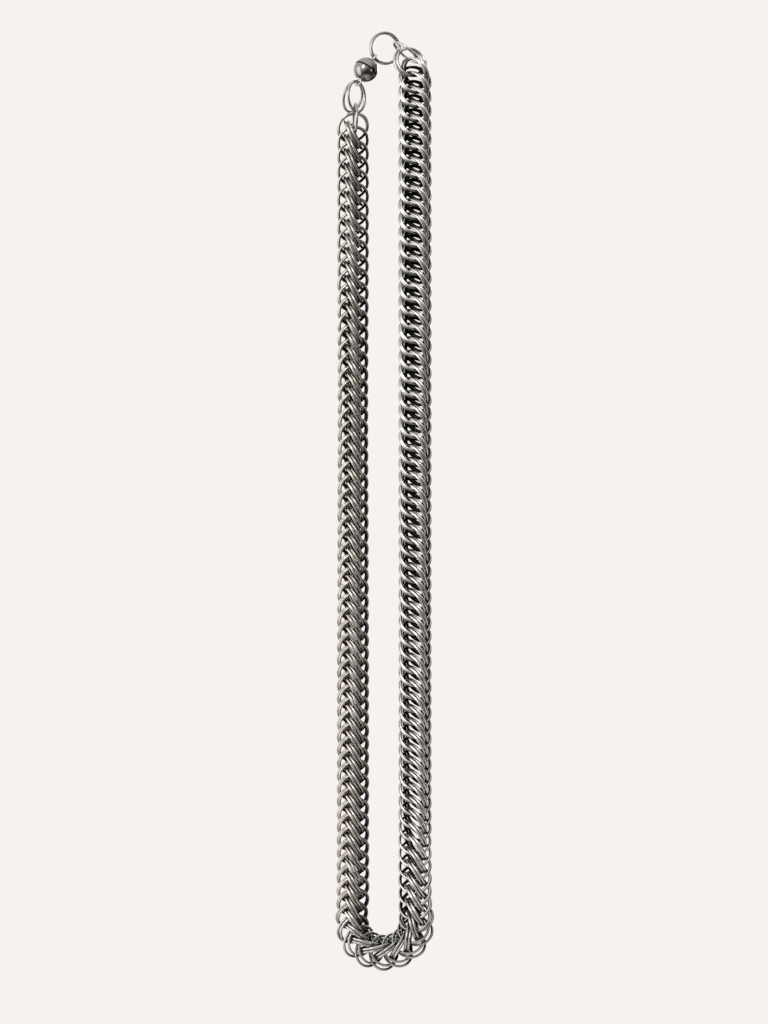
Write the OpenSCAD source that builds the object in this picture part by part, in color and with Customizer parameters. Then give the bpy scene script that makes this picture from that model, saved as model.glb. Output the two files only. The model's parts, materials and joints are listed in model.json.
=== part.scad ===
// Chainmaille necklace: one closed loop woven from round wire rings, with a ball clasp.
// Every inner ring passes through eight others, the Persian eight in one weave.
// Millimetres. X is to the right, Y away from the viewer and Z up. The origin is the
// inside top of the hanging ring pair, where the necklace hangs.

/* [Wire rings] */
// Thickness of the round wire
wire_d = 0.92; // [0.80:0.01:0.94]
// Radius of a ring, to the middle of its wire
ring_r = 5.17; // [5.12:0.01:5.22]

/* [Weave] */
// Turns of the weave in the whole chain, with four rings in each
turns = 132; // [131:1:133]
// Length of one turn at the two loose ends
turn_top = 4.86; // [4.80:0.01:4.92]
// Turns over which each end tightens to the middle of the chain
taper_turns = 40; // [30:1:50]

/* [Hang] */
// Distance between the middles of the two strands
strand_gap = 21.08; // [20.60:0.02:21.60]
// Place of the middle between the strands, along X
middle_x = -0.44; // [-1:0.02:0]
// Height of the bend's middle below the origin
bend_drop = 300.9; // [299:0.1:303]
// Height where the right strand begins, below the origin
right_drop = 9.55; // [9:0.05:10]
// Height where the left strand begins, below the origin
left_drop = 28.1; // [27.5:0.1:28.5]

/* [Clasp] */
// Width of the clasp's ball
ball_d = 8.3; // [8.1:0.1:8.4]
// Thickness of the wire in the clasp's loops
loop_wire_d = 0.7; // [0.6:0.02:0.74]

/* [Hidden] */

// Colours of the metal
bright_steel = [0.72, 0.71, 0.69];
worn_steel = [0.55, 0.53, 0.50];
ball_steel = [0.34, 0.33, 0.32];

// The thread of the chain runs down the right strand, round the bend and up the left one.
bend_r = strand_gap / 2;
right_length = bend_drop - right_drop;
bend_length = PI * bend_r;
left_length = bend_drop - left_drop;
thread_length = right_length + bend_length + left_length;
turn_low = (thread_length - turn_top * taper_turns) / (turns - taper_turns);

// The chain is kept in sections of whole turns.
section_turns = 8;
right_sections = 7;
bend_sections = 3;

// Rings at the two ends: middle X, Y and Z, then the turn and the lean of the axis in degrees
hanging_front_place = [0.09, -0.25, -4.82, 110.9, 1.8];
hanging_back_place = [-0.31, 0.74, -4.82, 111.7, 1.1];
right_link_place = [7.15, 1.84, -5.96, 12.7, 51.5];
lead_front_place = [-9.70, -5.18, -22.02, 147.7, 0.5];
lead_back_place = [-11.04, -3.09, -21.82, 145.9, 14.9];
left_link_place = [-10.30, -2.11, -29.13, -172.1, 2.0];

// The first pair of woven rings leans to the right link ring, the last to the left one.
first_pair = [[7.85, 0.03, -9.55, -68.3, 19.1], [8.91, -0.73, -9.70, -68.1, 19.0]];
last_pair = [[-11.11, 0.40, -31.89, 112.5, 30.5], [-10.89, -0.84, -31.77, 111.9, 29.1]];

// The ball: its middle, the turn and tilt of its axis, and the turn of each loop about it
ball_middle = [-6.63, -2.50, -12.51];
ball_turn = 26.4;
ball_tilt = 34.9;
upper_loop_turn = 177.1;
lower_loop_turn = -150.7;
loop_r = 1.35;
loop_sink = 0.12;
groove_w = 0.6;
groove_r = ball_d / 2 - 0.22;
half_gap = 0.1;
stud_r = 1.2;
stud_length = 2.2;
stud_clearance = 0.06;
bore_spare = 0.3;

// Turn of the weave about its thread, in degrees, and the length over which it changes
twist_right_top = 167;
twist_right_low = 155;
twist_bend = 124;
twist_left_low = 118;
twist_left_top = 112;
twist_blend = 40.8;

// The weave turns slowly once more up to the left link ring, where its end keeps one turn.
twist_left_end = 127;
twist_return = 90;
twist_kept = 20;

// Place of a ring in its turn, at the loose ends and in the tight middle: across and back
// from the thread, phase in turns, and the turn and lean of its axis in degrees
ring_loose = [0.442, 0.391, 0.2552, 58.7, 25.2];
ring_tight = [0.323, 0.459, 0.2236, 53.5, 31.0];

// The four columns of rings: side, back, sign of the phase, start in turns, sign of the axis
columns = [
    [1, -1, -1, 0.5, -1],
    [-1, 1, 1, 0, -1],
    [1, 1, -1, 1, 1],
    [-1, -1, 1, 0.5, 1]
];

// Shift of each column round the bend: outward, back and along the thread
bend_shift = [
    [1.36, -0.34, -0.34],
    [0.34, 0.17, -0.68],
    [0.17, 0.17, 0.51],
    [-0.17, 0.51, 1.02]
];
bend_ease = 15.3;

// Rings in the bend push each other apart, in small steps, until their wires are clear.
push_steps = 40;
push_distance = 1.037;
push_share = 0.3;
tilt_share = 0.6;
push_reach = 14;
held_rings = 6;
probe_count = 24;

function clip(x, low, high) = max(low, min(high, x));
function mix(a, b, share) = a + (b - a) * share;
function smooth(a, b, x) = let(t = clip((x - a) / (b - a), 0, 1)) t * t * (3 - 2 * t);
function unit(v) = v / norm(v);

// How loose the weave is at a turn: 1 at the ends and 0 in the middle
function looseness(turn) = clip(1 - min(turn, turns - turn) / taper_turns, 0, 1);

// Length of thread from an end up to a turn
function from_end(turn) =
    let(c = min(turn, taper_turns))
    turn_low * turn + (turn_top - turn_low) * (c - c * c / (2 * taper_turns));
function thread_at(turn) =
    turn < turns / 2 ? from_end(turn) : thread_length - from_end(turns - turn);

// Twist of the weave at a length of thread
function twist_at(s) =
    let(
        left_start = right_length + bend_length + twist_blend,
        left_end = thread_length - twist_kept
    )
    mix(twist_right_top, twist_right_low, clip(s / (right_length - twist_blend), 0, 1))
    + (twist_bend - twist_right_low) * smooth(right_length - twist_blend, right_length, s)
    + (twist_left_low - twist_bend) * smooth(left_start - twist_blend, left_start, s)
    + (twist_left_top - twist_left_low)
        * clip((s - left_start) / (left_end - twist_return - left_start), 0, 1)
    + (twist_left_end - twist_left_top) * smooth(left_end - twist_return, left_end, s);

// Angle round the bend, the outward direction there and the direction of the thread
function bend_angle(s) = clip((s - right_length) / bend_r * 180 / PI, 0, 180);
function outward(a) = [cos(a), 0, -sin(a)];
function onward(a) = [-sin(a), 0, -cos(a)];
function thread_point(s) =
    let(a = bend_angle(s))
    [middle_x, 0, -bend_drop] + bend_r * outward(a)
    + [0, 0, max(right_length - s, 0) + max(s - right_length - bend_length, 0)];

// How far a length of thread is in the bend, from 0 to 1
function bend_share(s) =
    smooth(right_length - bend_ease / 2, right_length + bend_ease / 2, s)
    * (1 - smooth(right_length + bend_length - bend_ease / 2,
                  right_length + bend_length + bend_ease / 2, s));

// One ring as [middle, axis], from its turn and its column
function woven_ring(turn, column) =
    let(
        c = columns[column],
        guess = turn + c[3] + c[2] * mix(ring_tight[2], ring_loose[2], looseness(turn)),
        place = mix(ring_tight, ring_loose, looseness(guess)),
        s0 = thread_at(turn + c[3] + c[2] * place[2]),
        share = bend_share(s0),
        shift = bend_shift[column] * share,
        s = s0 + shift[2],
        t = twist_at(s),
        across = c[0] * place[0],
        back = c[1] * place[1],
        level = cos(place[4]),
        axis_across = level * cos(place[3]),
        axis_back = c[4] * level * sin(place[3]),
        out = outward(bend_angle(s)),
        away = [0, 1, 0]
    )
    [
        thread_point(s)
            + (across * cos(t) - back * sin(t) + shift[0]) * out
            + (across * sin(t) + back * cos(t) + shift[1]) * away,
        (axis_across * cos(t) - axis_back * sin(t)) * out
            + (axis_across * sin(t) + axis_back * cos(t)) * away
            + sin(place[4]) * onward(bend_angle(s))
    ];

function turns_of_rings(first, last) =
    [for (turn = [first : last - 1]) for (column = [0 : 3]) woven_ring(turn, column)];

// Nearest point of a ring's middle line to a point
function on_ring(p, ring) =
    let(q = p - ring[0], flat = q - (q * ring[1]) * ring[1])
    ring[0] + ring_r * unit(flat);

// Distance of a point from a ring's middle line
function off_ring(p, ring) =
    let(q = p - ring[0], h = q * ring[1])
    norm([h, norm(q - h * ring[1]) - ring_r]);

// Directions round a ring
probes = [for (k = [0 : probe_count - 1]) [cos(k * 360 / probe_count), sin(k * 360 / probe_count)]];

// Places where ring b comes too close to ring a, as [point, push on a]
function pushes(a, b) =
    let(
        side = unit(cross(b[1], [0.3, 0.9, 0.1])),
        top = cross(b[1], side),
        points = [for (k = probes) b[0] + ring_r * (k[0] * side + k[1] * top)],
        away = [for (p = points) off_ring(p, a)]
    )
    [for (k = [0 : probe_count - 1])
        if (away[k] < push_distance + 0.85
            && away[k] <= away[(k + 1) % probe_count]
            && away[k] < away[(k + probe_count - 1) % probe_count])
            let(
                a1 = on_ring(points[k], a),
                b1 = on_ring(a1, b),
                a2 = on_ring(b1, a),
                b2 = on_ring(a2, b),
                a3 = on_ring(b2, a),
                v = a3 - b2
            )
            if (norm(v) < push_distance) [a3, unit(v) * (push_distance - norm(v)) / 2]];

function sum(list) = [for (x = list) 1] * list;

// One ring moved by the pushes of its neighbours
function pushed(rings, i) =
    let(
        ring = rings[i],
        list = [for (j = [max(0, i - push_reach) : min(len(rings) - 1, i + push_reach)])
            if (j != i && norm(rings[j][0] - ring[0]) < 2 * ring_r + 1)
                each pushes(ring, rings[j])]
    )
    len(list) == 0 ? ring : [
        ring[0] + push_share * sum([for (x = list) x[1]]),
        unit(ring[1] + tilt_share / (ring_r * ring_r)
            * cross(sum([for (x = list) cross(x[0] - ring[0], x[1])]), ring[1]))
    ];

// The rings at both ends of the list are held, so that they fit the sections beyond.
function one_step(rings) =
    [for (i = [0 : len(rings) - 1])
        i < held_rings || i >= len(rings) - held_rings ? rings[i] : pushed(rings, i)];
function settled(rings, steps) = steps == 0 ? rings : settled(one_step(rings), steps - 1);

function bend_rings() =
    settled(turns_of_rings(right_sections * section_turns,
                           (right_sections + bend_sections) * section_turns), push_steps);

// A ring of round wire about an axis
module wire_ring(middle, axis, r = ring_r, d = wire_d) {
    translate(middle)
        rotate([0, acos(axis[2]), atan2(axis[1], axis[0])])
            rotate_extrude($fn = 48)
                translate([r, 0])
                    circle(d = d, $fn = 24);
}

// A ring from a place: middle, then turn and lean of its axis
module placed_ring(place) {
    level = cos(place[4]);
    wire_ring([place[0], place[1], place[2]],
              [level * cos(place[3]), level * sin(place[3]), sin(place[4])]);
}

// One straight section of the woven chain, counted from the right end. The outermost two
// rings at the right end and four at the left end give way to the pair that leans to the
// link ring there.
module section(number) {
    first = (number - 1) * section_turns;
    rings = turns_of_rings(first, min(turns, first + section_turns));
    right_end = number == 1;
    left_end = first + section_turns >= turns;
    for (i = [right_end ? 2 : 0 : len(rings) - (left_end ? 5 : 1)])
        wire_ring(rings[i][0], rings[i][1]);
    if (right_end)
        for (place = first_pair) placed_ring(place);
    if (left_end)
        for (place = last_pair) placed_ring(place);
}

// One section of the bend, from rings that have settled round it
module bend_section(number) {
    rings = bend_rings();
    first = (number - 1) * section_turns * 4;
    for (i = [first : first + section_turns * 4 - 1])
        wire_ring(rings[i][0], rings[i][1]);
}

// Places a clasp half, whose own axis is Z, in the ball's place
module in_clasp() {
    translate(ball_middle)
        rotate([0, ball_tilt, ball_turn])
            children();
}

// One half of the ball above its middle plane, with its rim set back in the groove
module ball_half() {
    difference() {
        sphere(d = ball_d, $fn = 96);
        translate([0, 0, groove_w / 2 - ball_d])
            cube([2 * ball_d, 2 * ball_d, 2 * ball_d], center = true);
    }
    translate([0, 0, half_gap / 2])
        cylinder(r = groove_r, h = groove_w / 2, $fn = 96);
}

// A wire loop soldered on the ball's pole
module pole_loop(turn) {
    wire_ring([0, 0, ball_d / 2 - loop_sink + loop_r], [cos(turn), sin(turn), 0],
              loop_r, loop_wire_d);
}

module hanging_ring_front() { color(bright_steel) placed_ring(hanging_front_place); }
module hanging_ring_back() { color(bright_steel) placed_ring(hanging_back_place); }
module right_link_ring() { color(bright_steel) placed_ring(right_link_place); }
module lead_ring_front() { color(bright_steel) placed_ring(lead_front_place); }
module lead_ring_back() { color(bright_steel) placed_ring(lead_back_place); }
module left_link_ring() { color(bright_steel) placed_ring(left_link_place); }

// The upper half carries the stud that holds the clasp shut.
module clasp_upper() {
    color(ball_steel)
        in_clasp() {
            ball_half();
            pole_loop(upper_loop_turn);
            translate([0, 0, -stud_length])
                cylinder(r = stud_r, h = stud_length + groove_w, $fn = 48);
        }
}

// The lower half has the bore for the stud.
module clasp_lower() {
    color(ball_steel)
        in_clasp()
            difference() {
                mirror([0, 0, 1]) {
                    ball_half();
                    pole_loop(lower_loop_turn);
                }
                translate([0, 0, -stud_length - bore_spare])
                    cylinder(r = stud_r + stud_clearance, h = stud_length + 2 * bore_spare, $fn = 48);
            }
}

module right_strand_1() { color(bright_steel) section(1); }
module right_strand_2() { color(bright_steel) section(2); }
module right_strand_3() { color(bright_steel) section(3); }
module right_strand_4() { color(bright_steel) section(4); }
module right_strand_5() { color(bright_steel) section(5); }
module right_strand_6() { color(bright_steel) section(6); }
module right_strand_7() { color(bright_steel) section(7); }
module bend_1() { color(bright_steel) bend_section(1); }
module bend_2() { color(bright_steel) bend_section(2); }
module bend_3() { color(worn_steel) bend_section(3); }
module left_strand_1() { color(worn_steel) section(11); }
module left_strand_2() { color(worn_steel) section(12); }
module left_strand_3() { color(worn_steel) section(13); }
module left_strand_4() { color(worn_steel) section(14); }
module left_strand_5() { color(worn_steel) section(15); }
module left_strand_6() { color(worn_steel) section(16); }
module left_strand_7() { color(worn_steel) section(17); }

hanging_ring_front();
hanging_ring_back();
clasp_upper();
clasp_lower();
lead_ring_front();
lead_ring_back();
left_link_ring();
right_link_ring();
right_strand_1();
right_strand_2();
right_strand_3();
right_strand_4();
right_strand_5();
right_strand_6();
right_strand_7();
bend_1();
bend_2();
bend_3();
left_strand_1();
left_strand_2();
left_strand_3();
left_strand_4();
left_strand_5();
left_strand_6();
left_strand_7();
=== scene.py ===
"""Chainmaille necklace: visible rings, ball clasp and stage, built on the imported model."""
import json
import math
import random
from collections import namedtuple

import bmesh
import bpy
import numpy as np
from bpy.props import FloatProperty, FloatVectorProperty, IntProperty, PointerProperty
from bpy.types import Operator, Panel, PropertyGroup
from mathutils import Matrix, Vector


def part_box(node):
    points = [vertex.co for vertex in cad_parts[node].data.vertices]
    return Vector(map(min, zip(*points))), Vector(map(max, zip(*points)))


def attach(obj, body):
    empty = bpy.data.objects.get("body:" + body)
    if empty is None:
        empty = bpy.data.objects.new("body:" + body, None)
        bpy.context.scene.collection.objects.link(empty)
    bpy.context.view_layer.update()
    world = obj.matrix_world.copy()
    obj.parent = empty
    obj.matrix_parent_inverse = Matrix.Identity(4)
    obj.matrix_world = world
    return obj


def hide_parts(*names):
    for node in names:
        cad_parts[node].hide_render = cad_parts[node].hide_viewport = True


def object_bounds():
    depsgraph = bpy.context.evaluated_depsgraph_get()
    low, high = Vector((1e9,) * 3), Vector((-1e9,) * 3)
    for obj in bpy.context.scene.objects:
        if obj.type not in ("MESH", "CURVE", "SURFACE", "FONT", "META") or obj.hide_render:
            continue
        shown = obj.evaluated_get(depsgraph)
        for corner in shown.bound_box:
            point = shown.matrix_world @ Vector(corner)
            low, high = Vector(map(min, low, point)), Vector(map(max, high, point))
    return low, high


bl_info = {
    "name": "Chainmaille necklace",
    "version": (1, 0, 0),
    "blender": (4, 5, 0),
    "location": "View3D > Sidebar > Necklace",
    "description": "Builds the rings, the ball clasp and the stage of a chainmaille necklace",
    "category": "Object",
}

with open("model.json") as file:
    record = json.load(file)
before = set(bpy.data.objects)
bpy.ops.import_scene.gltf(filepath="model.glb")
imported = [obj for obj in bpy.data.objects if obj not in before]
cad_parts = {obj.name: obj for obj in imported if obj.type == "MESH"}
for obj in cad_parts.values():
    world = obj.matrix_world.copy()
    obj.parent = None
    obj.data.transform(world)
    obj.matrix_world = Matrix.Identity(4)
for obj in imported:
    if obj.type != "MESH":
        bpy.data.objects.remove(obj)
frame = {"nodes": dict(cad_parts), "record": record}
cad_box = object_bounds()

# Photograph and camera
PHOTO_SIZE = (768, 1024)
METRES_PER_PIXEL = 0.00034
ORIGIN_PIXEL = (385.3, 33.9)
SENSOR_MM = 36.0

# Pieces
END_RINGS = (
    "hanging_ring_front",
    "hanging_ring_back",
    "right_link_ring",
    "lead_ring_front",
    "lead_ring_back",
    "left_link_ring",
)
RIGHT_SECTIONS = tuple(f"right_strand_{i}" for i in range(1, 8))
BEND_SECTIONS = tuple(f"bend_{i}" for i in range(1, 4))
LEFT_SECTIONS = tuple(f"left_strand_{i}" for i in range(1, 8))
WOVEN_SECTIONS = RIGHT_SECTIONS + BEND_SECTIONS + LEFT_SECTIONS
CLASP_HALVES = ("clasp_upper", "clasp_lower")

# Ring radii read from one node may differ by this share at most.
RADIUS_TOLERANCE = 0.05
# A number above that of the corners in a ring's cage
MORE_THAN_CORNERS = 1000


def node_slot(node):
    """The material slot that the record gives a node."""
    return next(s["material_slot"] for s in frame["record"]["subparts"] if s["node"] == node)


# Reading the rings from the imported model


def corner_points(node):
    """The corners of a node's triangles in order, one row each, in metres."""
    mesh = frame["nodes"][node].data
    points = np.empty(len(mesh.vertices) * 3, np.float32)
    mesh.vertices.foreach_get("co", points)
    corners = np.empty(len(mesh.loops), np.int32)
    mesh.loops.foreach_get("vertex_index", corners)
    return points.reshape(-1, 3)[corners].astype(float)


# A round ring: its middle, its axis, its radius to the middle of the wire and the wire's radius
Ring = namedtuple("Ring", ("middle", "axis", "radius", "wire"))


def fit_ring(points):
    """The round ring whose surface has these points.

    The ring is thinnest along its axis, where half its extent is the wire radius.
    """
    mean = points.mean(0)
    axes = np.linalg.eigh(np.cov((points - mean).T))[1]
    local = (points - mean) @ axes
    low, high = local.min(0), local.max(0)
    half = (high - low) / 2
    middle = mean + axes @ ((high + low) / 2)
    wire = half[0]
    radius = (half[1] + half[2]) / 2 - wire
    return Ring(Vector(middle), Vector(axes[:, 0]).normalized(), radius, wire)


def rings_in(node, corners_each):
    """Every ring of a node, in the order of its solids."""
    points = corner_points(node)
    count = round(len(points) / corners_each)
    rings = [fit_ring(block) for block in np.array_split(points, count)]
    radius = rings[0].radius
    if any(abs(ring.radius - radius) > RADIUS_TOLERANCE * radius for ring in rings):
        raise RuntimeError(f"the rings of {node} can't be told apart")
    return rings


# Every ring has the same number of triangles, so one ring tells where the others end.
CORNERS_OF_RING = len(corner_points("hanging_ring_front"))
RINGS = {node: rings_in(node, CORNERS_OF_RING) for node in END_RINGS + WOVEN_SECTIONS}
RING_RADIUS = RINGS["hanging_ring_front"][0].radius
WIRE_RADIUS = RINGS["hanging_ring_front"][0].wire


def middle_of(nodes):
    """Mean place of all the rings of some nodes."""
    middles = [ring.middle for node in nodes for ring in RINGS[node]]
    return sum(middles, Vector()) / len(middles)


# The thread that the weave runs along: two straight strands and a half circle below them.
# The sections that hold the end pairs are left out, because these lean aside.
RIGHT_X = middle_of(RIGHT_SECTIONS[1:]).x
LEFT_X = middle_of(LEFT_SECTIONS[:-1]).x
BEND_RADIUS = (RIGHT_X - LEFT_X) / 2
MIDDLE_X = (RIGHT_X + LEFT_X) / 2
BEND_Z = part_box("bend_2")[0].z + BEND_RADIUS + RING_RADIUS + WIRE_RADIUS
RIGHT_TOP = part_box(RIGHT_SECTIONS[0])[1].z
LEFT_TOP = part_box(LEFT_SECTIONS[-1])[1].z

# The ball, as part.scad places it
BALL_MIDDLE = (-0.00663, -0.00250, -0.01251)
BALL_TURN = math.radians(26.4)
BALL_TILT = math.radians(34.9)
BALL_AXIS = (
    math.sin(BALL_TILT) * math.cos(BALL_TURN),
    math.sin(BALL_TILT) * math.sin(BALL_TURN),
    math.cos(BALL_TILT),
)
BALL_RADIUS = 0.00415
GROOVE_HALF = 0.0003

# Heights from the ball's middle plane over which the groove's painted shade ends and the wire
# loops start
GROOVE_EDGE = (GROOVE_HALF * 0.8, GROOVE_HALF * 1.25)
LOOP_EDGE = (BALL_RADIUS * 0.97, BALL_RADIUS * 1.01)

# The wire is painted dark nearer the thread than this and where it faces the thread, partly as
# tarnish and partly as painted shade inside the weave; further out and facing outward it stays
# bright. The blotches make that distance ragged.
PAINTED_SHADE_DISTANCE = (0.0029, 0.0054)
PAINTED_SHADE_FACING = (-0.30, 0.60)
RAGGED = 0.0010
# At the open ends the inside stays bright too, without the tarnish and painted shade, between
# these heights from the strand's top.
OPEN_END = (-0.0075, -0.0035)
# In the bend painted shade darkens all of the steel by this share. It sets in between these
# depths below the middle of the half circle.
BEND_PAINTED_SHADE = 0.25
BEND_START = (-0.010, 0.005)

# Wear of the wire: blotches and each ring's own tone darken it to the shade of worn wire,
# and the blotches change its roughness.
TONE_LAYER = "ring_tone"
BLOTCH_SCALE = 420.0
TONE_SHARE = 0.35
WORN_RANGE = (0.42, 0.85)
WORN_SHADE = 0.72
ROUGHNESS_SPREAD = 0.22

# Fine grain of the wire
GRAIN_SCALE = 2600.0
GRAIN_STRENGTH = 0.10
GRAIN_HEIGHT = 0.00002

# Clouds on the ball turn into brighter scuffs and change its roughness.
CLOUD_SCALE = 260.0
SCUFF_RANGE = (0.50, 0.66)
SCUFF_SHADE = 1.6
BALL_LEAST_ROUGHNESS = 0.07
BALL_ROUGHNESS_SPREAD = 0.20

# The surroundings that the metal reflects brighten between these directions, where 1 points
# to their bright side and -1 away from it.
AIR_RANGE = (-0.45, 0.60)

WHITE = (1.0, 1.0, 1.0)
# Softboxes: name, place, size, brightness and colour
LIGHTS = (
    ("key", (-0.65, -1.40, 0.55), (0.60, 0.80), 4.5, WHITE),
    ("fill", (1.30, -0.90, 0.00), (0.40, 1.00), 1.5, WHITE),
    ("back", (0.60, 1.50, 0.50), (0.60, 0.80), 4.0, WHITE),
    ("side", (-0.85, -0.25, -0.30), (0.55, 1.20), 1.9, (1.0, 0.86, 0.78)),
)

# Floor
FLOOR_SEGMENTS = 96
FLOOR_ROUGHNESS = 0.95


class NecklaceSteel(PropertyGroup):
    """Colours and finish of the metal."""

    bright: FloatVectorProperty(
        name="Bright steel", description="Colour of the steel where it is rubbed bright",
        subtype="COLOR", size=3, min=0, max=1, default=(0.71, 0.695, 0.67))
    warm: FloatVectorProperty(
        name="Warm steel", description="Colour of the worn steel on the left strand",
        subtype="COLOR", size=3, min=0, max=1, default=(0.55, 0.518, 0.472))
    # Dark colour for the tarnish and painted shade inside the weave, and for the painted shade
    # in the ball's groove.
    dark: FloatVectorProperty(
        name="Dark tarnish and painted shade", description="Colour of the tarnish and painted shade inside the weave and of the painted shade in the ball's groove",
        subtype="COLOR", size=3, min=0, max=1, default=(0.022, 0.021, 0.020))
    ball: FloatVectorProperty(
        name="Ball", description="Colour of the dark polished ball",
        subtype="COLOR", size=3, min=0, max=1, default=(0.27, 0.265, 0.255))
    roughness: FloatProperty(
        name="Roughness", description="Roughness of the rubbed wire",
        min=0, max=1, default=0.24)


class NecklaceRings(PropertyGroup):
    """Mesh detail of the wire rings."""

    segments: IntProperty(
        name="Segments", description="Segments round a ring before smoothing",
        min=8, max=24, default=12)
    sides: IntProperty(
        name="Sides", description="Sides of the wire before smoothing",
        min=4, max=8, default=4)
    levels: IntProperty(
        name="Smoothing", description="Subdivision levels of the rings",
        min=0, max=3, default=2)
    fullness: FloatProperty(
        name="Fullness", description="Wire thickness as a share of the packed wire's",
        min=0.95, max=1.05, default=1.045)
    seed: IntProperty(
        name="Seed", description="Seed of the random turns and tones of the rings",
        min=0, max=999, default=7)


class NecklaceStage(PropertyGroup):
    """Camera, floor and surroundings."""

    distance: FloatProperty(
        name="Camera distance", description="Distance of the camera from the necklace",
        unit="LENGTH", min=0.5, max=3, default=1.0)
    floor_drop: FloatProperty(
        name="Floor drop", description="How far the floor lies below the necklace",
        unit="LENGTH", min=0.01, max=0.5, default=0.10)
    floor_solid: FloatProperty(
        name="Floor start of fade", description="Radius within which the floor is solid",
        unit="LENGTH", min=0.05, max=1, default=0.10)
    floor_reach: FloatProperty(
        name="Floor end of fade", description="Radius at which the floor has faded out",
        unit="LENGTH", min=0.1, max=2, default=0.42)
    floor_colour: FloatVectorProperty(
        name="Floor colour", description="Colour of the floor",
        subtype="COLOR", size=3, min=0, max=1, default=(0.785, 0.782, 0.775))
    back_colour: FloatVectorProperty(
        name="Background colour", description="Pale colour behind the necklace",
        subtype="COLOR", size=3, min=0, max=1, default=(0.92, 0.89, 0.865))
    air_bright: FloatVectorProperty(
        name="Bright surroundings", description="Colour that the metal reflects from above",
        subtype="COLOR", size=3, min=0, max=2, default=(1.18, 1.17, 1.15))
    air_dark: FloatVectorProperty(
        name="Dark surroundings", description="Colour that the metal reflects from below",
        subtype="COLOR", size=3, min=0, max=1, default=(0.06, 0.058, 0.056))
    air_side: FloatProperty(
        name="Side of the light", description="Lean of the bright surroundings to the left",
        subtype="ANGLE", min=0, max=math.pi / 2, default=math.radians(35))


# Materials


class Nodes:
    """The node tree of a material or a world, with short calls for the nodes used here."""

    def __init__(self, owner):
        owner.use_nodes = True
        self.tree = owner.node_tree

    def named(self, name):
        """A node that the tree starts with."""
        return self.tree.nodes[name]

    def add(self, kind, **settings):
        """A new node with some of its settings."""
        node = self.tree.nodes.new(kind)
        for key, value in settings.items():
            setattr(node, key, value)
        return node

    def feed(self, socket, value):
        """Give a socket another node's output, or a plain value."""
        if isinstance(value, bpy.types.NodeSocket):
            self.tree.links.new(value, socket)
        else:
            socket.default_value = value

    def math(self, operation, *values):
        """The result of an operation on numbers."""
        node = self.add("ShaderNodeMath", operation=operation)
        for socket, value in zip(node.inputs, values):
            self.feed(socket, value)
        return node.outputs[0]

    def vector(self, operation, *values):
        """A vector operation's node, because some give a number and some a vector."""
        node = self.add("ShaderNodeVectorMath", operation=operation)
        for socket, value in zip(node.inputs, values):
            self.feed(socket, value)
        return node

    def parts(self, vector):
        """The X, Y and Z of a vector, by name."""
        node = self.add("ShaderNodeSeparateXYZ")
        self.feed(node.inputs[0], vector)
        return node.outputs

    def joined(self, **parts):
        """A vector from its X, Y and Z, where a part that isn't given is 0."""
        node = self.add("ShaderNodeCombineXYZ")
        for name, value in parts.items():
            self.feed(node.inputs[name], value)
        return node.outputs[0]

    def between(self, value, limits):
        """0 below the limits, 1 above them and smooth between."""
        node = self.add("ShaderNodeMapRange", interpolation_type="SMOOTHSTEP")
        self.feed(node.inputs["Value"], value)
        self.feed(node.inputs["From Min"], limits[0])
        self.feed(node.inputs["From Max"], limits[1])
        return node.outputs["Result"]

    def blend(self, share, first, second):
        """Colour mix; each colour is a tuple or a socket."""
        node = self.add("ShaderNodeMix", data_type="RGBA")
        self.feed(node.inputs["Factor"], share)
        for socket, value in ((node.inputs["A"], first), (node.inputs["B"], second)):
            self.feed(socket, (*value, 1) if isinstance(value, tuple) else value)
        return node.outputs["Result"]

    def pick(self, share, first, second, output):
        """Mix two shaders and give the result to the output."""
        node = self.add("ShaderNodeMixShader")
        for socket, value in zip(node.inputs, (share, first, second)):
            self.feed(socket, value)
        self.feed(self.named(output).inputs["Surface"], node.outputs[0])

    def noise(self, vector, scale, detail, roughness):
        """Cloudy noise from 0 to 1."""
        node = self.add("ShaderNodeTexNoise")
        self.feed(node.inputs["Scale"], scale)
        self.feed(node.inputs["Detail"], detail)
        self.feed(node.inputs["Roughness"], roughness)
        self.feed(node.inputs["Vector"], vector)
        return node.outputs["Fac"]


def shaded(colour, share):
    """A colour with each part times the share."""
    return tuple(share * part for part in colour)


def from_thread(nodes, place):
    """Distance of a point from the thread that the weave runs along, and how far it faces out.

    The second number is 1 where the wire faces away from the thread and -1 where it faces it.
    """
    split = nodes.parts(place)
    across = nodes.math("SUBTRACT", split["X"], MIDDLE_X)
    below = nodes.math("MINIMUM", nodes.math("SUBTRACT", split["Z"], BEND_Z), 0.0)
    spoke = nodes.joined(X=across, Z=below)
    reach = nodes.vector("LENGTH", spoke).outputs["Value"]
    aside = nodes.math("SUBTRACT", reach, BEND_RADIUS)
    unit = nodes.vector("NORMALIZE", spoke).outputs["Vector"]
    in_plane = nodes.vector("SCALE", unit)
    nodes.feed(in_plane.inputs["Scale"], aside)
    back = nodes.joined(Y=split["Y"])
    arm = nodes.vector("ADD", in_plane.outputs["Vector"], back).outputs["Vector"]
    depth = nodes.vector("LENGTH", arm).outputs["Value"]
    outward = nodes.vector("NORMALIZE", arm).outputs["Vector"]
    normal = nodes.add("ShaderNodeTexCoord").outputs["Normal"]
    return depth, nodes.vector("DOT_PRODUCT", outward, normal).outputs["Value"]


def near_open_end(nodes, place):
    """1 at the two open ends of the weave, where its inside stays bright without the tarnish
    and painted shade, and 0 elsewhere.
    """
    split = nodes.parts(place)
    right = nodes.math("GREATER_THAN", split["X"], MIDDLE_X)
    top = nodes.math("ADD", nodes.math("MULTIPLY", right, RIGHT_TOP - LEFT_TOP), LEFT_TOP)
    below = nodes.math("SUBTRACT", split["Z"], top)
    return nodes.between(below, OPEN_END)


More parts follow.
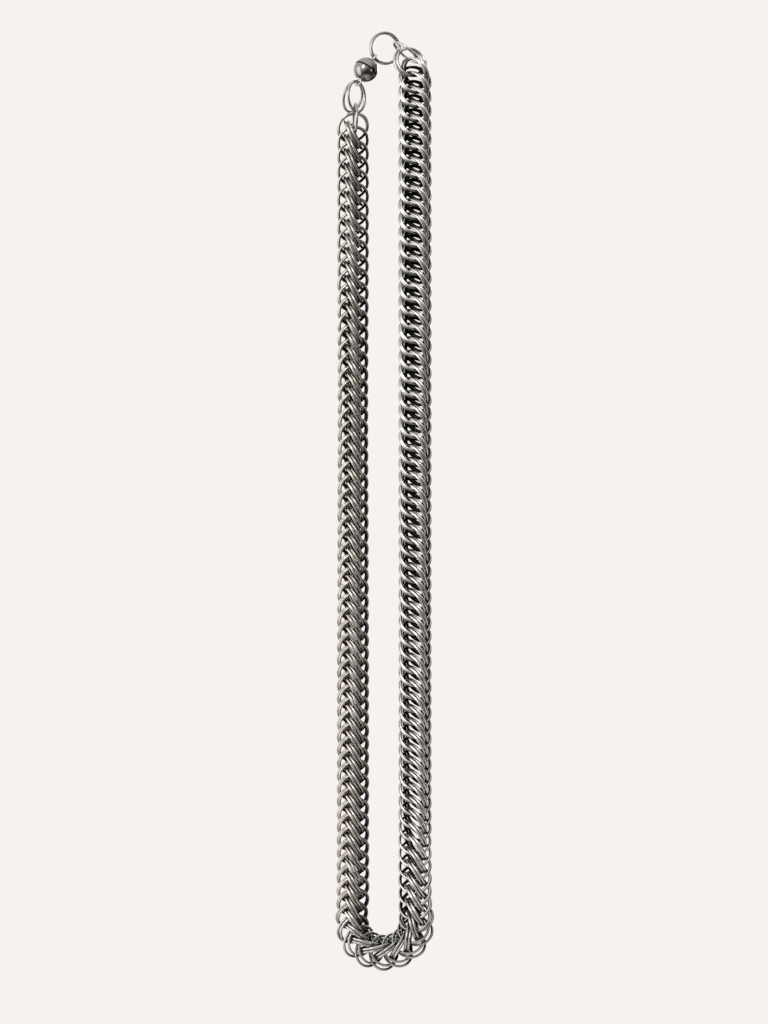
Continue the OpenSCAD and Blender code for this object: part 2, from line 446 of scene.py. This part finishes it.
def in_bend(nodes, place):
    """1 in the bend and 0 on the straight strands."""
    depth = nodes.math("SUBTRACT", BEND_Z, nodes.parts(place)["Z"])
    return nodes.between(depth, BEND_START)


def ring_material(name, steel, bright, tarnish_and_painted_shade):
    """Worn round steel wire, dark in the recesses with tarnish and painted shade."""
    material = bpy.data.materials.new(name)
    nodes = Nodes(material)
    shader = nodes.named("Principled BSDF")
    place = nodes.add("ShaderNodeTexCoord").outputs["Object"]
    tone = nodes.add("ShaderNodeAttribute", attribute_name=TONE_LAYER).outputs["Fac"]
    blotch = nodes.noise(place, BLOTCH_SCALE, detail=4.0, roughness=0.6)
    grain = nodes.noise(place, GRAIN_SCALE, detail=2.0, roughness=0.5)
    wear = nodes.math("ADD", blotch, nodes.math("MULTIPLY", tone, TONE_SHARE))
    metal = nodes.blend(nodes.between(wear, WORN_RANGE), bright, shaded(bright, WORN_SHADE))
    if tarnish_and_painted_shade:
        # Painted shade: near the thread and facing it the wire is darkened to the dark colour,
        # partly as tarnish and partly as shade inside the weave; the open ends stay bright.
        depth, facing = from_thread(nodes, place)
        ragged = nodes.math("ADD", depth, nodes.math("MULTIPLY", blotch, RAGGED))
        reached = nodes.between(ragged, PAINTED_SHADE_DISTANCE)
        turned = nodes.between(facing, PAINTED_SHADE_FACING)
        outside = nodes.math("MULTIPLY", reached, turned)
        rubbed = nodes.math("MAXIMUM", outside, near_open_end(nodes, place))
        # Painted shade in the bend: all of the steel there is darkened towards the dark colour.
        painted_bend_shade = nodes.math("MULTIPLY", in_bend(nodes, place), BEND_PAINTED_SHADE)
        metal = nodes.blend(painted_bend_shade, metal, tuple(steel.dark))
        metal = nodes.blend(rubbed, tuple(steel.dark), metal)
    nodes.feed(shader.inputs["Base Color"], metal)
    nodes.feed(shader.inputs["Metallic"], 1.0)
    spread = nodes.math("MULTIPLY", blotch, ROUGHNESS_SPREAD)
    rough = nodes.math("ADD", spread, steel.roughness - ROUGHNESS_SPREAD / 2)
    nodes.feed(shader.inputs["Roughness"], rough)
    bump = nodes.add("ShaderNodeBump")
    nodes.feed(bump.inputs["Strength"], GRAIN_STRENGTH)
    nodes.feed(bump.inputs["Distance"], GRAIN_HEIGHT)
    nodes.feed(bump.inputs["Height"], grain)
    nodes.feed(shader.inputs["Normal"], bump.outputs[0])
    return material


# Meshes


def kept_when_smoothed(corners):
    """Share of its radius that a regular polygon keeps when subdivision rounds it."""
    return (4 + 2 * math.cos(2 * math.pi / corners)) / 6


def corner_key(element):
    """A number that orders edges or faces by their lowest and highest corner."""
    numbers = [vert.index for vert in element.verts]
    return min(numbers) * MORE_THAN_CORNERS + max(numbers)


def ring_cage(detail):
    """One ring about Z with its wire closed, drawn larger because smoothing pulls it in."""
    wire = WIRE_RADIUS / kept_when_smoothed(detail.sides) * detail.fullness
    radius = RING_RADIUS / kept_when_smoothed(detail.segments)
    quarter = Matrix.Rotation(math.pi / 2, 3, "X")
    bm = bmesh.new()
    bmesh.ops.create_circle(bm, cap_ends=False, segments=detail.sides, radius=wire)
    bmesh.ops.rotate(bm, verts=bm.verts, cent=(0, 0, 0), matrix=quarter)
    bmesh.ops.translate(bm, verts=bm.verts, vec=(radius, 0, 0))
    bmesh.ops.spin(
        bm, geom=bm.edges[:] + bm.verts[:], cent=(0, 0, 0), axis=(0, 0, 1), dvec=(0, 0, 0),
        angle=2 * math.pi, steps=detail.segments, use_merge=True, use_duplicate=False)
    # Spin gives the edges and faces in another order each time.
    bm.verts.index_update()
    bm.edges.sort(key=corner_key)
    bm.faces.sort(key=corner_key)
    bmesh.ops.recalc_face_normals(bm, faces=bm.faces)
    for face in bm.faces:
        face.smooth = True
    mesh = bpy.data.meshes.new("ring_cage")
    bm.to_mesh(mesh)
    bm.free()
    return mesh


def add_rings(name, node, detail, material):
    """One piece with all the rings of a node, each turned at random about its own axis."""
    rng = random.Random(f"{name} {detail.seed}")
    cage = ring_cage(detail)
    bm = bmesh.new()
    tone = bm.verts.layers.float.new(TONE_LAYER)
    for ring in RINGS[node]:
        known = len(bm.verts)
        bm.from_mesh(cage)
        bm.verts.ensure_lookup_table()
        new = bm.verts[known:]
        turn = ring.axis.to_track_quat("Z", "Y").to_matrix().to_4x4()
        spin = Matrix.Rotation(rng.uniform(0, 2 * math.pi), 4, "Z")
        placed = Matrix.Translation(ring.middle) @ turn @ spin
        bmesh.ops.transform(bm, matrix=placed, verts=new)
        shade = rng.random()
        for vert in new:
            vert[tone] = shade
    mesh = bpy.data.meshes.new(name)
    bm.to_mesh(mesh)
    bm.free()
    bpy.data.meshes.remove(cage)
    piece = bpy.data.objects.new(name, mesh)
    bpy.context.scene.collection.objects.link(piece)
    mesh.materials.append(material)
    smooth = piece.modifiers.new("Smooth wire", "SUBSURF")
    smooth.levels = detail.levels
    smooth.render_levels = detail.levels
    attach(piece, "root")
    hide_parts(node)


class NECKLACE_OT_weave(Operator):
    """Build the woven rings, section by section"""

    bl_idname = "necklace.weave"
    bl_label = "Woven rings"

    def execute(self, context):
        steel = context.scene.necklace_steel
        detail = context.scene.necklace_rings
        bright = ring_material("woven_bright_steel", steel, tuple(steel.bright), tarnish_and_painted_shade=True)
        worn = ring_material("woven_worn_steel", steel, tuple(steel.warm), tarnish_and_painted_shade=True)
        for node in WOVEN_SECTIONS:
            material = worn if node_slot(node) == "worn_steel" else bright
            add_rings(f"{node}_rings", node, detail, material)
        return {"FINISHED"}


class NECKLACE_OT_end_rings(Operator):
    """Build the hanging pair, the lead pair and the link rings"""

    bl_idname = "necklace.end_rings"
    bl_label = "End rings"

    def execute(self, context):
        steel = context.scene.necklace_steel
        colour = shaded(steel.bright, WORN_SHADE)
        material = ring_material("end_ring_steel", steel, colour, tarnish_and_painted_shade=False)
        for node in END_RINGS:
            add_rings(f"{node}_wire", node, context.scene.necklace_rings, material)
        return {"FINISHED"}


def ball_material(steel):
    """Dark polished ball with soft scuffs, painted shade in its groove, and bright loops."""
    material = bpy.data.materials.new("clasp_steel")
    nodes = Nodes(material)
    shader = nodes.named("Principled BSDF")
    place = nodes.add("ShaderNodeTexCoord").outputs["Object"]
    arm = nodes.vector("SUBTRACT", place, BALL_MIDDLE).outputs["Vector"]
    along = nodes.vector("DOT_PRODUCT", arm, BALL_AXIS).outputs["Value"]
    height = nodes.math("ABSOLUTE", along)
    clear = nodes.between(height, GROOVE_EDGE)
    cloud = nodes.noise(place, CLOUD_SCALE, detail=4.0, roughness=0.6)
    scuffs = nodes.between(cloud, SCUFF_RANGE)
    body = nodes.blend(scuffs, tuple(steel.ball), shaded(steel.ball, SCUFF_SHADE))
    loop = nodes.between(height, LOOP_EDGE)
    metal = nodes.blend(loop, body, tuple(steel.bright))
    # Painted shade: the groove takes the dark colour, as the shadow inside it.
    nodes.feed(shader.inputs["Base Color"], nodes.blend(clear, tuple(steel.dark), metal))
    nodes.feed(shader.inputs["Metallic"], 1.0)
    spread = nodes.math("MULTIPLY", cloud, BALL_ROUGHNESS_SPREAD)
    nodes.feed(shader.inputs["Roughness"], nodes.math("ADD", spread, BALL_LEAST_ROUGHNESS))
    return material


class NECKLACE_OT_clasp(Operator):
    """Finish the ball clasp"""

    bl_idname = "necklace.clasp"
    bl_label = "Ball clasp"

    def execute(self, context):
        material = ball_material(context.scene.necklace_steel)
        for node in CLASP_HALVES:
            mesh = frame["nodes"][node].data
            mesh.materials.clear()
            mesh.materials.append(material)
        return {"FINISHED"}


# Stage


def area_light(name, place, size, brightness, colour, target):
    """Softbox that looks at the target, with a face as bright as the given number."""
    light = bpy.data.lights.new(name, "AREA")
    light.shape = "RECTANGLE"
    light.size, light.size_y = size
    light.energy = brightness * math.pi * size[0] * size[1]
    light.color = colour
    holder = bpy.data.objects.new(name, light)
    holder.location = place
    holder.rotation_euler = (Vector(target) - Vector(place)).to_track_quat("-Z", "Y").to_euler()
    holder.visible_camera = False
    bpy.context.scene.collection.objects.link(holder)


def floor_material(stage):
    """Matt pale paper that fades into the background away from the necklace."""
    material = bpy.data.materials.new("floor_paper")
    nodes = Nodes(material)
    shader = nodes.named("Principled BSDF")
    nodes.feed(shader.inputs["Base Color"], (*stage.floor_colour, 1))
    nodes.feed(shader.inputs["Roughness"], FLOOR_ROUGHNESS)
    place = nodes.add("ShaderNodeTexCoord").outputs["Object"]
    away = nodes.vector("LENGTH", place).outputs["Value"]
    faded = nodes.between(away, (stage.floor_solid, stage.floor_reach))
    clear = nodes.add("ShaderNodeBsdfTransparent")
    nodes.pick(faded, shader.outputs[0], clear.outputs[0], "Material Output")
    return material


def add_floor(stage):
    """Round floor below the necklace."""
    bm = bmesh.new()
    bmesh.ops.create_circle(
        bm, cap_ends=True, segments=FLOOR_SEGMENTS, radius=stage.floor_reach)
    mesh = bpy.data.meshes.new("floor")
    bm.to_mesh(mesh)
    bm.free()
    floor = bpy.data.objects.new("floor", mesh)
    floor.location.z = cad_box[0].z - stage.floor_drop
    bpy.context.scene.collection.objects.link(floor)
    mesh.materials.append(floor_material(stage))


def studio_world(stage):
    """Even pale background, while the metal reflects air that is bright at the upper left."""
    world = bpy.data.worlds.new("studio")
    nodes = Nodes(world)
    pale = nodes.named("Background")
    nodes.feed(pale.inputs["Color"], (*stage.back_colour, 1))
    way = nodes.add("ShaderNodeTexCoord").outputs["Generated"]
    bright_side = (-math.sin(stage.air_side), 0, math.cos(stage.air_side))
    level = nodes.vector("DOT_PRODUCT", way, bright_side).outputs["Value"]
    share = nodes.between(level, AIR_RANGE)
    air = nodes.add("ShaderNodeBackground")
    colour = nodes.blend(share, tuple(stage.air_dark), tuple(stage.air_bright))
    nodes.feed(air.inputs["Color"], colour)
    reflected = nodes.add("ShaderNodeLightPath").outputs["Is Glossy Ray"]
    nodes.pick(reflected, pale.outputs[0], air.outputs[0], "World Output")
    return world


class NECKLACE_OT_stage(Operator):
    """Set up the floor, the light and the camera"""

    bl_idname = "necklace.stage"
    bl_label = "Stage"

    def execute(self, context):
        stage = context.scene.necklace_stage
        width, height = PHOTO_SIZE
        aim = Vector((
            (width / 2 - ORIGIN_PIXEL[0]) * METRES_PER_PIXEL,
            0,
            -(height / 2 - ORIGIN_PIXEL[1]) * METRES_PER_PIXEL,
        ))
        camera = bpy.data.cameras.new("camera")
        camera.sensor_width = SENSOR_MM
        camera.lens = SENSOR_MM * stage.distance / (height * METRES_PER_PIXEL)
        holder = bpy.data.objects.new("camera", camera)
        holder.location = aim + Vector((0, -stage.distance, 0))
        holder.rotation_euler = (math.pi / 2, 0, 0)
        context.scene.collection.objects.link(holder)
        context.scene.camera = holder

        add_floor(stage)
        context.scene.world = studio_world(stage)
        for light in LIGHTS:
            area_light(*light, target=(0, 0, aim.z))
        context.scene.view_settings.view_transform = "Standard"
        return {"FINISHED"}


class NECKLACE_PT_panel(Panel):
    """Sizes, colours and building steps of the necklace"""

    bl_label = "Chainmaille necklace"
    bl_idname = "NECKLACE_PT_panel"
    bl_space_type = "VIEW_3D"
    bl_region_type = "UI"
    bl_category = "Necklace"

    def draw(self, context):
        for name in GROUPS:
            group = getattr(context.scene, name)
            box = self.layout.box()
            for key in group.__annotations__:
                box.prop(group, key)
        for operator in OPERATORS:
            self.layout.operator(operator.bl_idname)


GROUPS = {
    "necklace_steel": NecklaceSteel,
    "necklace_rings": NecklaceRings,
    "necklace_stage": NecklaceStage,
}
OPERATORS = (NECKLACE_OT_weave, NECKLACE_OT_end_rings, NECKLACE_OT_clasp, NECKLACE_OT_stage)
CLASSES = (*GROUPS.values(), *OPERATORS, NECKLACE_PT_panel)


def register():
    """Register the classes and give the scene its settings."""
    for cls in CLASSES:
        bpy.utils.register_class(cls)
    for name, group in GROUPS.items():
        setattr(bpy.types.Scene, name, PointerProperty(type=group))


def unregister():
    """Take the settings and the classes away again."""
    for name in GROUPS:
        delattr(bpy.types.Scene, name)
    for cls in reversed(CLASSES):
        bpy.utils.unregister_class(cls)


def main():
    register()
    bpy.ops.necklace.weave()
    bpy.ops.necklace.end_rings()
    bpy.ops.necklace.clasp()
    bpy.ops.necklace.stage()


if __name__ == "__main__":
    main()
